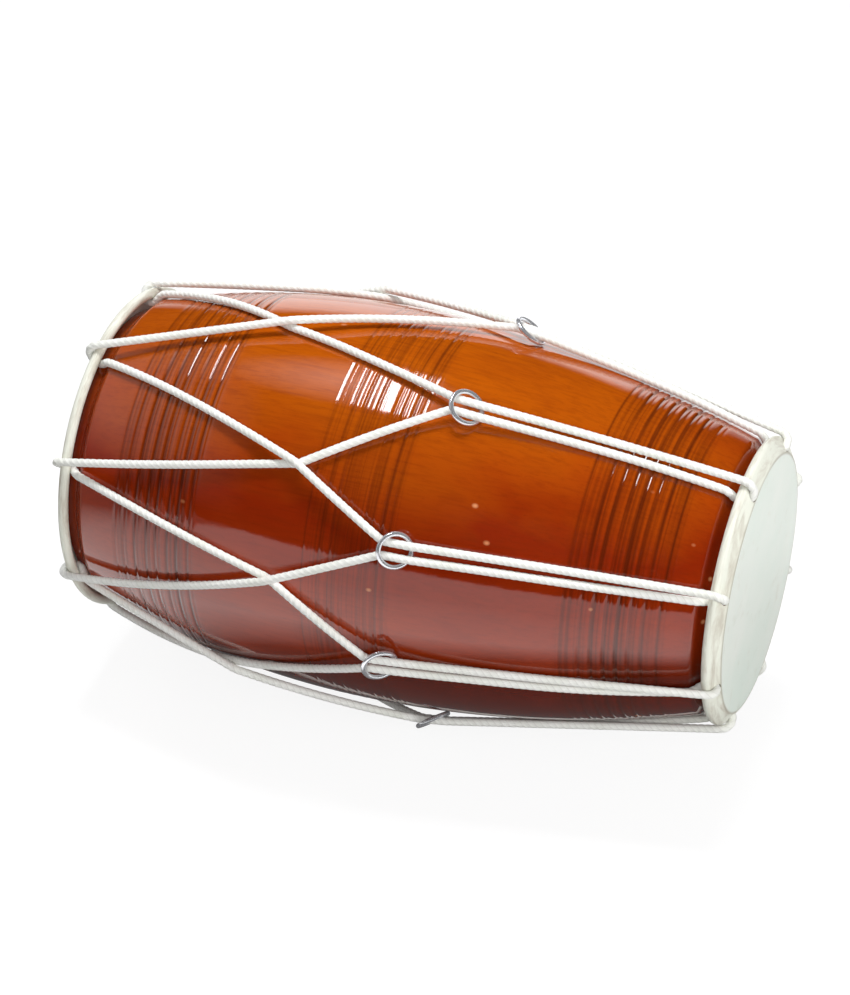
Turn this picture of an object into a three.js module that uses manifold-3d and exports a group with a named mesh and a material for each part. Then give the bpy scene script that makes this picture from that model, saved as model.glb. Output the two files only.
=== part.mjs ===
import * as THREE from "three";
import { mergeVertices } from "three/addons/utils/BufferGeometryUtils.js";
import Module from "manifold-3d";

// A dholak lying on its side: a turned barrel shell with a skin head at each end, laced with cotton rope.
// Lengths are millimetres. The drum's axis lies along X, with the bass head at -X and the treble at +X.
// A place on the drum is [along, angle, out]: the distance along the axis from midway between the hoops,
// the angle in degrees up from the front (-Y), and the distance out from the axis.

// Shell: the widest ring of the barrel, where it sits, the thickness of its wall, and how far and how
// deep each mouth is rounded off under the hoop.
const bellyRadius = 143.8;
const bellyPlace = -39;
const shellWall = 10;
const edgeBevel = 1.5;
const mouthDrop = 6.9;
const mouthRound = 18;

// Heads: a skin lapped round a hoop, how far each flat face stands past its hoop's middle, and how far
// inside its hoop it ends.
const hoopSpan = 480;
const bassHoopRadius = 118.5;
const trebleHoopRadius = 100.5;
const hoopThickness = 4.6;
const skinThickness = 1.1;
const faceInset = 7;
const shoulderRound = 1.8;
const bassFaceRise = 7;
const trebleFaceRise = 8.5;
const lapEndAngle = 290;

// Tuning paste on the inner face of the bass skin.
const pasteRadius = 46;
const pasteThickness = 1.8;
const pasteEdgeShare = 0.82;

// Lacing rope and the space it keeps to what it passes.
const ropeThickness = 6;
const ropeGap = 0.5;
const seatGap = 0.3;
const hoopLegSpacing = 6.8;
const loopStart = 80;
const loopEnd = -122;
const loopSplit = -80;
const loopSquare = 3;
const holeStart = 20;
const holeEnd = -85;

// Tuning rings: steel wire rings on each pair of legs, with the travel each one has along its pair.
const ringDiameter = 23.5;
const ringWire = 3.5;
const ringTilt = 36;
const ringLegSpacing = 9.6;
const ringLegClearance = 0.95;
const travelToTreble = 80;
const travelToBass = 30;

// Knots that close the two ropes: a sleeve of turns round a leg, on the hidden side.
const knotLength = 15;
const knotThickness = 14;
const knotNeckShare = 0.72;
const knotPlaceShare = 0.86;

// Stations round the drum. The rope was laced by hand, so no two spacings are alike.
const bassHoleAngles = [110, 65, 23.5, -21.5, -67, -112, -157, -203];
const ringAngles = [109, 65.8, 23.3, -12.9, -59, -108, -154, -206];
const trebleHoleAngles = [122, 71, 25.8, -16.4, -63, -109, -153, -196];
const crossingAngles = [82.6, 40.3, 7.2, -36, -87, -133, -179, -233];

// Places along the drum, as shares of the distance from the middle to a hoop.
const ringPlaceShares = [0.235, 0.204, 0.112, 0.078, 0.13, 0.17, 0.2, 0.225];
const crossingPlaceShares = [-0.415, -0.228, -0.275, -0.44, -0.35, -0.33, -0.36, -0.3];

// How finely the round shapes are cut.
const roundSteps = 40;
const shellSteps = 14;
const mouthSteps = 5;
const boreSteps = 8;
const shoulderSteps = 2;
const lapSteps = 8;
const wireSides = 6;
const ringSteps = 18;
const ropeSides = 6;
const loopSteps = 8;
const holeSteps = 4;
const holeSides = 10;
const legSteps = 5;
const neckSteps = 3;
const tuckSteps = 2;
const supportSteps = 40;

const hoopPlace = hoopSpan / 2;
const ropeRadius = ropeThickness / 2;
const ropeSeat = ropeRadius + ropeGap;
const hoopRadius = hoopThickness / 2;
const lapRadius = hoopRadius + seatGap + skinThickness;
const loopRadius = lapRadius + ropeSeat;
const stations = bassHoleAngles.length;
const turn = 360;

const wasm = await Module();
wasm.setup();

const radians = THREE.MathUtils.degToRad;

function place([along, angle, out]) {
  const round = radians(angle);
  return new THREE.Vector3(along, -out * Math.cos(round), out * Math.sin(round));
}

// An end of the drum: which way it faces, and the sizes of its hoop, face and shell neck.
function makeEnd(side, hoopOut, faceRise) {
  const neckPlace = side * (hoopPlace - lapRadius);
  const neckRadius = hoopOut - lapRadius - 2 * ropeSeat;
  const fall = (bellyRadius - mouthDrop - neckRadius) / (neckPlace - bellyPlace) ** 2;
  const roundPlace = neckPlace - side * mouthRound;
  const mouthPlace = side * (hoopPlace + faceRise - skinThickness - seatGap);
  return { side, hoopOut, faceRise, neckPlace, roundPlace, fall, mouthPlace };
}

const bassEnd = makeEnd(-1, bassHoopRadius, bassFaceRise);
const trebleEnd = makeEnd(1, trebleHoopRadius, trebleFaceRise);

// The barrel falls away from its belly along one parabola to each end, and its mouths are rounded off,
// which leaves room for the rope under the hoops.
function shellRadius(along) {
  const end = along < bellyPlace ? bassEnd : trebleEnd;
  const [from, to] = [end.side * end.roundPlace, end.side * end.neckPlace];
  const drop = mouthDrop * THREE.MathUtils.smoothstep(end.side * along, from, to);
  return bellyRadius - end.fall * (along - bellyPlace) ** 2 - drop;
}

function mix(from, to, share) {
  return from + (to - from) * share;
}

function shares(count) {
  return Array.from({ length: count + 1 }, (unused, index) => index / count);
}

// Solids turned round the drum's axis, from a profile of [out, along] points.
function turned(profile) {
  const points = profile.map(([out, along]) => new THREE.Vector2(out, along));
  return new THREE.LatheGeometry(points, roundSteps).rotateZ(-Math.PI / 2);
}

function shellSolid() {
  const bassMouth = shares(mouthSteps).map((share) => mix(bassEnd.mouthPlace + edgeBevel, bassEnd.roundPlace, share));
  const barrel = shares(shellSteps).slice(1, -1).map((share) => mix(bassEnd.roundPlace, trebleEnd.roundPlace, share));
  const trebleMouth = shares(mouthSteps).map((share) => mix(trebleEnd.roundPlace, trebleEnd.mouthPlace - edgeBevel, share));
  const outer = [...bassMouth, ...barrel, ...trebleMouth].map((along) => [shellRadius(along), along]);
  const inner = shares(boreSteps).map((share) => {
    const along = mix(trebleEnd.mouthPlace, bassEnd.mouthPlace, share);
    return [shellRadius(along) - shellWall, along];
  });
  const [bassRim, trebleRim] = [bassEnd, trebleEnd].map(({ mouthPlace }) => {
    return [shellRadius(mouthPlace) - edgeBevel, mouthPlace];
  });
  return turned([bassRim, ...outer, trebleRim, ...inner, bassRim]);
}

// One face of a skin, from the middle over the shoulder, down the slope and round the hoop.
function skinFace(end, depth) {
  const shoulderOut = end.hoopOut - faceInset;
  const shoulderRise = end.faceRise - shoulderRound;
  const span = Math.hypot(end.hoopOut - shoulderOut, shoulderRise);
  const bearing = Math.atan2(end.hoopOut - shoulderOut, -shoulderRise);
  const slope = bearing - Math.acos((shoulderRound - lapRadius) / span);
  const shoulder = shares(shoulderSteps).map((share) => {
    const lean = mix(0, slope, share);
    const reach = shoulderRound - depth;
    return [shoulderOut + reach * Math.sin(lean), shoulderRise + reach * Math.cos(lean)];
  });
  const lap = shares(lapSteps).map((share) => {
    const round = mix(slope, radians(lapEndAngle), share);
    const reach = lapRadius - depth;
    return [end.hoopOut + reach * Math.sin(round), reach * Math.cos(round)];
  });
  return [[0, end.faceRise - depth], ...shoulder, ...lap];
}

function skinSolid(end) {
  const front = skinFace(end, 0);
  const back = skinFace(end, skinThickness).reverse();
  const profile = [...front, ...back].map(([out, rise]) => [out, end.side * (hoopPlace + rise)]);
  return turned(end.side < 0 ? profile : profile.reverse());
}

function hoopSolid(end) {
  const profile = shares(wireSides).map((share) => {
    const round = radians(turn * share);
    return [end.hoopOut + hoopRadius * Math.cos(round), end.side * hoopPlace + hoopRadius * Math.sin(round)];
  });
  return turned(profile);
}

function pasteSolid() {
  const seat = bassEnd.side * (hoopPlace + bassEnd.faceRise - skinThickness - seatGap);
  const top = seat - bassEnd.side * pasteThickness;
  return turned([[0, seat], [pasteRadius, seat], [pasteRadius * pasteEdgeShare, top], [0, top]]);
}

// A line that a tube follows from point to point, with short steps round bends and long ones on straights.
class Route extends THREE.Curve {
  constructor(points) {
    super();
    this.points = points;
  }

  step(share) {
    return Math.round(share * (this.points.length - 1));
  }

  getPointAt(share) {
    return this.points[this.step(share)].clone();
  }

  getTangentAt(share) {
    const step = this.step(share);
    const here = this.points[step];
    const arriving = here.clone().sub(this.points[Math.max(step - 1, 0)]).normalize();
    const leaving = this.points[Math.min(step + 1, this.points.length - 1)].clone().sub(here).normalize();
    return arriving.add(leaving).normalize();
  }
}

function tubeSolid(places, radius, sides) {
  const corners = shares(sides).slice(1).map((share) => {
    const round = radians(turn * share);
    return new THREE.Vector2(radius * Math.cos(round), radius * Math.sin(round));
  });
  const route = new Route(places.map(place));
  const settings = { steps: places.length - 1, extrudePath: route, bevelEnabled: false };
  return new THREE.ExtrudeGeometry(new THREE.Shape(corners), settings);
}

function ropeSolid(places) {
  return tubeSolid(places, ropeRadius, ropeSides);
}

// A ring's seat: its low arc, on the treble side, lies on the shell, and its high arc stands over the legs.
// It is lifted so that it can slide straight along the curved shell through its whole travel.
function ringSeat(station) {
  const along = ringPlaceShares[station] * hoopPlace;
  const tilt = radians(ringTilt);
  const reach = ringDiameter / 2;
  const lowPlace = along + reach * Math.cos(tilt);
  const highPlace = along - reach * Math.cos(tilt);
  const travelMiddle = (travelToTreble - travelToBass) / 2;
  const lift = trebleEnd.fall * travelMiddle ** 2;
  const low = shellRadius(lowPlace) + ringWire / 2 + seatGap + lift;
  const high = low + 2 * reach * Math.sin(tilt);
  const legLift = ringWire / 2 + ropeRadius + ringLegClearance;
  return { along, angle: ringAngles[station], out: (low + high) / 2, lowPlace, highPlace,
    lowLeg: low + legLift, highLeg: high - legLift };
}

const ringSeats = ringAngles.map((angle, station) => ringSeat(station));

// A rope pulled tight over its supports keeps to the upper hull of them.
function tighten(supports) {
  const hull = [];
  for (const point of [...supports].sort((one, other) => one[0] - other[0])) {
    while (hull.length > 1) {
      const [first, second] = hull.slice(-2);
      const rise = (second[0] - first[0]) * (point[1] - first[1]);
      const run = (second[1] - first[1]) * (point[0] - first[0]);
      if (rise < run) break;
      hull.pop();
    }
    hull.push(point);
  }
  return hull;
}

// Reads a list of [along, value] points at one place along the drum.
function read(list, along) {
  const next = list.findIndex((point) => point[0] >= along);
  if (next === 0) return list[0][1];
  if (next < 0) return list[list.length - 1][1];
  const [before, after] = [list[next - 1], list[next]];
  return mix(before[1], after[1], (along - before[0]) / (after[0] - before[0]));
}

// What a rope lies on along the shell, with its seat measured square to the wood.
function shellSupports(from, to) {
  return shares(supportSteps).map((share) => {
    const along = mix(from, to, share);
    const lean = (shellRadius(along + seatGap) - shellRadius(along)) / seatGap;
    return [along, shellRadius(along) + ropeSeat * Math.hypot(1, lean)];
  });
}

// The rope's turn round a lapped hoop, from the turn angle `from` to `to`, seen from the drum's side:
// 90 is over the hoop, 0 in front of it, -90 under it.
function loopPlaces(end, angle, from, to, steps) {
  return shares(steps).map((share) => loopPlace(end, angle, mix(from, to, share)));
}

function loopPlace(end, angle, turnAngle) {
  const round = radians(turnAngle);
  const out = end.hoopOut + loopRadius * Math.sin(round);
  const along = end.side * (hoopPlace + loopRadius * Math.cos(round));
  const share = (turnAngle - loopEnd) / (loopStart - loopEnd);
  const aside = mix(-hoopLegSpacing, hoopLegSpacing, share) / 2;
  return [along, angle + asAngle(aside, out), out];
}

function asAngle(distance, out) {
  return THREE.MathUtils.radToDeg(distance / out);
}

// Places along a leg at even steps between its fixed points, laid on the tight line.
function legPlaces(angles, tight, steps = legSteps) {
  const places = [];
  angles.forEach((point, index) => {
    const next = angles[index + 1];
    if (!next) return;
    for (const share of shares(steps).slice(0, -1)) {
      const along = mix(point[0], next[0], share);
      places.push([along, mix(point[1], next[1], share), read(tight, along)]);
    }
  });
  return places;
}

// The fixed point of a leg where it passes on to an end's rounded mouth.
function neckPoint(end, from, to) {
  return [end.roundPlace, mix(from[1], to[1], (end.roundPlace - from[0]) / (to[0] - from[0]))];
}

// One leg in the middle of its ring, above (side 1) or below (side -1) the ring's centre.
function ringPlaces(seat, side) {
  const aside = (side * ringLegSpacing) / 2;
  const high = [seat.highPlace, seat.angle + asAngle(aside, seat.highLeg), seat.highLeg];
  const low = [seat.lowPlace, seat.angle + asAngle(aside, seat.lowLeg), seat.lowLeg];
  const middle = high.map((value, index) => (value + low[index]) / 2);
  return { high, low, middle };
}

// Treble lacing: from the ring over the hoop, in at the hole, and back under the hoop to the ring.
function treblePlaces(station) {
  const seat = ringSeats[station];
  const angle = trebleHoleAngles[station];
  const loop = loopPlaces(trebleEnd, angle, loopStart, loopEnd, loopSteps);
  const over = ringPlaces(seat, 1);
  const under = ringPlaces(seat, -1);
  const first = loop[0];
  const last = loop[loop.length - 1];
  const supports = shellSupports(seat.lowPlace, hoopPlace - lapRadius - ropeThickness);
  const overTight = tighten([[over.low[0], over.low[2]], ...supports, [first[0], first[2]]]);
  const underTight = tighten([[under.low[0], under.low[2]], ...supports, [last[0], last[2]]]);
  const overLeg = legPlaces([over.low, first], overTight);
  const neck = neckPoint(trebleEnd, under.low, last);
  const underNeck = legPlaces([neck, last], underTight, neckSteps);
  const underLeg = [...legPlaces([under.low, neck], underTight), ...underNeck].reverse();
  const start = [over.middle[0] + seatGap / 2, over.middle[1], over.middle[2]];
  const finish = [under.middle[0] + seatGap / 2, under.middle[1], under.middle[2]];
  return [start, ...overLeg, ...loop, ...underLeg, finish];
}

// A station counted past either end of the row is the same one a whole turn further round.
function around(station) {
  const turns = Math.floor(station / stations);
  return { index: station - turns * stations, wraps: -turns * turn };
}

// Bass lacing: from each hole one leg goes over the hoop to the ring above, the other from under the
// hoop to the ring below. The second rope, in the odd holes, lies over the first where they cross.
function crossing(station, goesUp) {
  const { index, wraps } = around(goesUp ? station - 1 : station);
  return [crossingPlaceShares[index] * hoopPlace, crossingAngles[index] + wraps];
}

function bassTight(station, goesUp, start, end) {
  const [crossPlace] = crossing(station, goesUp);
  const supports = [[start[0], start[2]], ...shellSupports(-hoopPlace + lapRadius + ropeThickness, end[0]),
    [end[0], end[2]]];
  if (station % 2 === 0) return tighten(supports);
  const other = around(goesUp ? station - 1 : station + 1).index;
  const below = bassLeg(other, !goesUp).tight;
  return tighten([...supports, [crossPlace, read(below, crossPlace) + ropeThickness + ropeGap]]);
}

function bassLeg(station, goesUp) {
  const { index, wraps } = around(goesUp ? station - 1 : station + 1);
  const ends = ringPlaces(ringSeats[index], goesUp ? -1 : 1);
  const [high, middle] = [ends.high, ends.middle].map(([along, angle, out]) => [along, angle + wraps, out]);
  const split = goesUp ? loopSplit : loopSplit - asAngle(ropeGap, loopRadius);
  const square = goesUp ? split + loopSquare : split - loopSquare;
  const hole = bassHoleAngles[station];
  const round = goesUp
    ? loopPlaces(bassEnd, hole, square, loopStart, loopSteps)
    : loopPlaces(bassEnd, hole, square, loopEnd, tuckSteps);
  const loop = [loopPlace(bassEnd, hole, split), ...round];
  const start = loop[loop.length - 1];
  const tight = bassTight(station, goesUp, start, high);
  const cross = crossing(station, goesUp);
  const neck = neckPoint(bassEnd, start, cross);
  const leg = [...legPlaces([start, neck], tight, neckSteps), ...legPlaces([neck, cross, high], tight)];
  const finish = [middle[0] - seatGap / 2, middle[1], middle[2]];
  return { tight, places: [...loop.slice(0, -1), ...leg, high, finish] };
}

// Booleans: a closed mesh becomes a solid for cutting, and comes back as a plain mesh.
function asSolid(geometry) {
  const bare = geometry.clone();
  bare.deleteAttribute("normal");
  bare.deleteAttribute("uv");
  const merged = mergeVertices(bare);
  const vertProperties = new Float32Array(merged.attributes.position.array);
  const triVerts = new Uint32Array(merged.index.array);
  return new wasm.Manifold(new wasm.Mesh({ numProp: 3, vertProperties, triVerts }));
}

function asGeometry(solid) {
  const mesh = solid.getMesh();
  const geometry = new THREE.BufferGeometry();
  geometry.setAttribute("position", new THREE.BufferAttribute(mesh.vertProperties, 3));
  geometry.setIndex(new THREE.BufferAttribute(mesh.triVerts, 1));
  geometry.computeVertexNormals();
  return geometry;
}

// A hole for the rope, cut along its turn where it passes through the skin's slope.
function holeSolid(end, angle) {
  const radius = ropeSeat / Math.cos(Math.PI / holeSides);
  return tubeSolid(loopPlaces(end, angle, holeStart, holeEnd, holeSteps), radius, holeSides);
}

function laceSkin(end, angles) {
  let skin = asSolid(skinSolid(end));
  for (const angle of angles) {
    skin = skin.subtract(asSolid(holeSolid(end, angle)));
  }
  return asGeometry(skin);
}

// Finishes.
const wood = new THREE.MeshStandardMaterial({ color: 0x8e3a14, roughness: 0.25, metalness: 0 });
const hide = new THREE.MeshStandardMaterial({ color: 0xe6e3cc, roughness: 0.6, metalness: 0 });
const bamboo = new THREE.MeshStandardMaterial({ color: 0xb08a55, roughness: 0.8, metalness: 0 });
const paste = new THREE.MeshStandardMaterial({ color: 0x2a241f, roughness: 0.9, metalness: 0 });
const cotton = new THREE.MeshStandardMaterial({ color: 0xeeebe0, roughness: 0.9, metalness: 0 });
const steel = new THREE.MeshStandardMaterial({ color: 0xc4c6c8, roughness: 0.25, metalness: 1 });

const drum = new THREE.Group();

function add(name, geometry, material) {
  const mesh = new THREE.Mesh(geometry, material);
  mesh.name = name;
  drum.add(mesh);
  return mesh;
}

add("shell", shellSolid(), wood);
add("bass_hoop", hoopSolid(bassEnd), bamboo);
add("treble_hoop", hoopSolid(trebleEnd), bamboo);
add("bass_head_skin", laceSkin(bassEnd, bassHoleAngles), hide);
add("treble_head_skin", laceSkin(trebleEnd, trebleHoleAngles), hide);
add("bass_tuning_paste", pasteSolid(), paste);

function addRing(name, seat) {
  const ring = add(name, new THREE.TorusGeometry(ringDiameter / 2, ringWire / 2, wireSides, ringSteps), steel);
  const outward = place([0, seat.angle, 1]);
  const alongAxis = new THREE.Vector3(1, 0, 0);
  const sideways = new THREE.Vector3().crossVectors(outward, alongAxis);
  const tilt = radians(ringTilt);
  const facing = outward.clone().multiplyScalar(Math.cos(tilt)).addScaledVector(alongAxis, Math.sin(tilt));
  const lengthways = new THREE.Vector3().crossVectors(sideways, facing);
  ring.quaternion.setFromRotationMatrix(new THREE.Matrix4().makeBasis(lengthways, sideways, facing));
  ring.position.copy(place([seat.along, seat.angle, seat.out]));
}

for (let station = 0; station < stations; station += 1) {
  const label = station + 1;
  addRing(`tuning_ring_${label}`, ringSeats[station]);
  add(`treble_lacing_${label}`, ropeSolid(treblePlaces(station)), cotton);
  add(`bass_lacing_${label}_over`, ropeSolid(bassLeg(station, true).places), cotton);
  add(`bass_lacing_${label}_under`, ropeSolid(bassLeg(station, false).places), cotton);
}

// Knots, on the over legs of the last two stations, which lie round the back.
function knotSolid() {
  const bore = ropeRadius + seatGap;
  const outer = knotThickness / 2;
  const neck = mix(bore, outer, knotNeckShare);
  const end = knotLength / 2;
  const profile = [[bore, -end], [neck, -end], [outer, -end / 2], [outer, end / 2], [neck, end], [bore, end]];
  const points = [...profile, profile[0]].map(([out, along]) => new THREE.Vector2(out, along));
  return new THREE.LatheGeometry(points, 2 * ropeSides);
}

[stations - 2, stations - 1].forEach((station, index) => {
  const places = bassLeg(station, true).places;
  const knotPlace = -knotPlaceShare * hoopPlace;
  const next = places.findIndex(([along]) => along > knotPlace);
  const [from, to] = [place(places[next - 1]), place(places[next])];
  const knot = add(`lacing_knot_${index + 1}`, knotSolid(), cotton);
  knot.position.lerpVectors(from, to, (knotPlace - from.x) / (to.x - from.x));
  knot.quaternion.setFromUnitVectors(new THREE.Vector3(0, 1, 0), to.clone().sub(from).normalize());
});

// The origin is on the surface that the drum lies on, under the middle of its box.
drum.updateMatrixWorld(true);
const box = new THREE.Box3().setFromObject(drum, true);
const middle = box.getCenter(new THREE.Vector3());
drum.position.set(-middle.x, -middle.y, -box.min.z);
drum.updateMatrixWorld(true);

export default drum;
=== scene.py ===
import math

import bpy
import numpy as np
from mathutils import Matrix, Vector


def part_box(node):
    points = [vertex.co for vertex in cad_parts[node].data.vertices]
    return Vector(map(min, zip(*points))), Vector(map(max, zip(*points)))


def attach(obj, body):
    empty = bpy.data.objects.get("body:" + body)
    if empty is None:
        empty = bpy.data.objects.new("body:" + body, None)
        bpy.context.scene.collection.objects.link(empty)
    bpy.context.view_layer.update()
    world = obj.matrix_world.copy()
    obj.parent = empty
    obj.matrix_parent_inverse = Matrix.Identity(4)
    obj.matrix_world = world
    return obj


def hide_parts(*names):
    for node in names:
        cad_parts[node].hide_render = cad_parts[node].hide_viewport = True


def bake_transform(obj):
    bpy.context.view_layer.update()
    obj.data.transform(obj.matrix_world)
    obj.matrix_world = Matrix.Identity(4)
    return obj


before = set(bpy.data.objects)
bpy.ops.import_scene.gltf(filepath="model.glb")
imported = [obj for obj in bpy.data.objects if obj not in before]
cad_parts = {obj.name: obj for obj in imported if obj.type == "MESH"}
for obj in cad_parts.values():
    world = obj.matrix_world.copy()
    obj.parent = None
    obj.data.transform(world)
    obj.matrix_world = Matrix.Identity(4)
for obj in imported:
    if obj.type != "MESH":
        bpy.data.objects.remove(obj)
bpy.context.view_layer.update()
bpy.context.scene.view_settings.view_transform = "Standard"

# Camera. It stands before the drum and to its right, a little over two metres off, and looks down
# on it through a long lens.
camera_place = (0.6486, -1.6446, 1.3303)
camera_tilt = math.radians(90 - 33.35)
camera_turn = math.radians(21.69)
sensor_width = 36
lens_length = 105.16

bpy.ops.object.camera_add(location=camera_place, rotation=(camera_tilt, 0, camera_turn))
camera = bpy.context.object
camera.name = "camera"
camera.data.sensor_width = sensor_width
camera.data.lens = lens_length
bpy.context.scene.camera = camera

# Floor. Plain white boards, paper white to the camera, with the drum's own soft shadow on them. In
# the lacquer they glow, with a painted shadow near the drum, and are dark past the left end of the
# boards.
floor_width = 18.0
floor_depth = 14.0
floor_back = 5.0
boards_white = 0.88
boards_white_on_drum = 0.5
boards_glow_seen = 1.1
boards_glow_share = 0.8
boards_reach = (0.3, 0.8)
boards_glow = (1.68, 1.2)
shade_shift = (-0.10, 0, 0)
shade_stretch = (0.7, 1, 1)
shade_edge = (0.235, 0.315)
shade_glow = 0.07
left_end_slant = 0.55
left_end_edge = (-0.46, -0.30)
left_end_glow = 0.2


def add_node(tree, kind, inputs=None, **settings):
    made = tree.nodes.new(kind)
    for name, value in settings.items():
        setattr(made, name, value)
    for name, value in (inputs or {}).items():
        if isinstance(value, bpy.types.NodeSocket):
            tree.links.new(value, made.inputs[name])
        else:
            made.inputs[name].default_value = value
    return made


def work_out(tree, operation, first, second=0.0, *more):
    made = add_node(tree, "ShaderNodeMath", {0: first, 1: second}, operation=operation)
    return work_out(tree, operation, made.outputs[0], *more) if more else made.outputs[0]


def ranged(tree, value, low=0.0, high=1.0, start=0.0, end=1.0):
    """Goes from start to end as the value goes from low to high, and stays there past them."""
    inputs = {0: value, 1: low, 2: high, 3: start, 4: end}
    return add_node(tree, "ShaderNodeMapRange", inputs).outputs[0]


bpy.ops.mesh.primitive_plane_add(size=1, location=(0, floor_back - floor_depth / 2, 0))
floor = bpy.context.object
floor.name = "white_floor"
floor.scale = (floor_width, floor_depth, 1)
bpy.ops.object.transform_apply(location=False)

white_boards = bpy.data.materials.new("white_boards")
white_boards.use_nodes = True
tree = white_boards.node_tree
tree.nodes.clear()
seen_by = add_node(tree, "ShaderNodeLightPath").outputs
lights_drum = seen_by["Is Diffuse Ray"]
paint = ranged(tree, lights_drum, start=boards_white, end=boards_white_on_drum)
lit = add_node(tree, "ShaderNodeBsdfDiffuse", {"Color": paint}).outputs[0]
floor_spot = add_node(tree, "ShaderNodeNewGeometry").outputs["Position"]
on_floor = add_node(tree, "ShaderNodeSeparateXYZ", {0: floor_spot}).outputs
shading = {"Vector": floor_spot, "Location": shade_shift, "Scale": shade_stretch}
shaded_spot = add_node(tree, "ShaderNodeMapping", shading).outputs[0]
to_drum = {0: shaded_spot}
off_drum = add_node(tree, "ShaderNodeVectorMath", to_drum, operation="LENGTH").outputs["Value"]
# Painted shadow: the boards' glow in the lacquer fades away near the drum.
bare_boards = ranged(tree, off_drum, *boards_reach, *boards_glow)
unshaded = ranged(tree, off_drum, *shade_edge, start=shade_glow)
past_side = work_out(tree, "MULTIPLY", work_out(tree, "ABSOLUTE", on_floor["Y"]), left_end_slant)
past_left = work_out(tree, "ADD", on_floor["X"], past_side)
past_left = ranged(tree, past_left, *left_end_edge, start=left_end_glow)
mirrored = work_out(tree, "MULTIPLY", bare_boards, unshaded, past_left, seen_by["Is Glossy Ray"])
seen = work_out(tree, "MULTIPLY", seen_by["Is Camera Ray"], boards_glow_seen)
strength = work_out(tree, "ADD", seen, mirrored)
glow = add_node(tree, "ShaderNodeEmission", {"Strength": strength}).outputs[0]
seen_share = work_out(tree, "MULTIPLY", seen_by["Is Camera Ray"], boards_glow_share)
glow_share = work_out(tree, "ADD", seen_share, seen_by["Is Glossy Ray"])
mixed = add_node(tree, "ShaderNodeMixShader", {0: glow_share, 1: lit, 2: glow}).outputs[0]
add_node(tree, "ShaderNodeOutputMaterial", {"Surface": mixed})
floor.data.materials.append(white_boards)

# Room. White where the camera looks past the floor, an even grey fill for the shading, and in the
# gloss a dark room with a bright wall low down behind the drum, a dim curtain at the bass end and
# the tube lamp's halo.
least_ahead = 0.05
wall_left = (-0.70, -0.60)
wall_right = (0.03, -0.10)
wall_front = (0.1, 0.3)
wall_top = (0.35, 0.22)
wall_glow = 2.1
curtain_side = (-0.50, -0.80)
curtain_back = (0.5, 0.2)
curtain_rise = (0.05, 0.5)
curtain_glow = 0.85
halo_heart = (-0.35, 0.18, 0.92)
halo_edge = (0.27, 0.04)
halo_glow = (0.006, 2.1)
even_fill = 0.27

room = bpy.context.scene.world or bpy.data.worlds.new("room")
bpy.context.scene.world = room
room.use_nodes = True
tree = room.node_tree
tree.nodes.clear()
seen_by = add_node(tree, "ShaderNodeLightPath").outputs
looking = add_node(tree, "ShaderNodeTexCoord").outputs["Generated"]
bearing = add_node(tree, "ShaderNodeSeparateXYZ", {0: looking}).outputs
ahead = work_out(tree, "MAXIMUM", bearing["Y"], least_ahead)
aside = work_out(tree, "DIVIDE", bearing["X"], ahead)
wall = work_out(
    tree,
    "MULTIPLY",
    ranged(tree, aside, *wall_left),
    ranged(tree, aside, *wall_right),
    ranged(tree, bearing["Y"], *wall_front),
    ranged(tree, bearing["Z"], *wall_top, end=wall_glow),
)
curtain = work_out(
    tree,
    "MULTIPLY",
    ranged(tree, bearing["X"], *curtain_side),
    ranged(tree, bearing["Y"], *curtain_back),
    ranged(tree, bearing["Z"], *curtain_rise, end=curtain_glow),
)
to_lamp = {0: looking, 1: halo_heart}
off_lamp = add_node(tree, "ShaderNodeVectorMath", to_lamp, operation="DISTANCE").outputs["Value"]
halo = ranged(tree, off_lamp, *halo_edge, *halo_glow)
in_gloss = work_out(tree, "ADD", wall, curtain, halo)
in_gloss = work_out(tree, "MULTIPLY", in_gloss, seen_by["Is Glossy Ray"])
not_gloss = work_out(tree, "SUBTRACT", 1.0, seen_by["Is Glossy Ray"])
in_shade = work_out(tree, "MULTIPLY", not_gloss, even_fill)
not_camera = work_out(tree, "SUBTRACT", 1.0, seen_by["Is Camera Ray"])
on_object = work_out(tree, "MULTIPLY", work_out(tree, "ADD", in_gloss, in_shade), not_camera)
strength = work_out(tree, "ADD", seen_by["Is Camera Ray"], on_object)
backdrop = add_node(tree, "ShaderNodeBackground", {"Strength": strength}).outputs[0]
add_node(tree, "ShaderNodeOutputWorld", {"Surface": backdrop})

# Lamps. A soft one overhead, one over the photographer, a smaller one off each head, and a tube
# lamp hung level and crosswise past the drum's left end, the only one that shows in the lacquer.
tube_turn = math.radians(5)
tube_white = (0.93, 0.95, 1.0)


def hang_lamp(name, place, target, width, depth, watts, shows_in_gloss=False):
    bpy.ops.object.light_add(type="AREA", location=place)
    lamp = bpy.context.object
    lamp.name = name
    heading = Vector(target) - Vector(place)
    lamp.rotation_euler = heading.to_track_quat("-Z", "Y").to_euler()
    lamp.data.shape = "RECTANGLE"
    lamp.data.size = width
    lamp.data.size_y = depth
    lamp.data.energy = watts
    lamp.visible_glossy = shows_in_gloss
    return lamp


hang_lamp("overhead_lamp", (0, 0.10, 2.1), (0, 0.05, 0.15), width=0.5, depth=0.35, watts=19)
hang_lamp("front_lamp", (0.45, -1.9, 1.35), (0, 0, 0.15), width=1.1, depth=0.9, watts=15)
hang_lamp("treble_side_lamp", (1.8, -0.65, 0.7), (0.2, 0, 0.15), width=1, depth=0.8, watts=17)
hang_lamp("bass_side_lamp", (-1.7, 1.4, 0.9), (-0.1, 0, 0.15), width=1, depth=0.8, watts=9)
tube_lamp = hang_lamp(
    "tube_lamp",
    place=(-0.436, 0.27, 1.71),
    target=(-0.436, 0.27, 0),
    width=0.14,
    depth=0.86,
    watts=8,
    shows_in_gloss=True,
)
tube_lamp.rotation_euler = (0, 0, tube_turn)
tube_lamp.data.color = tube_white

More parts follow.
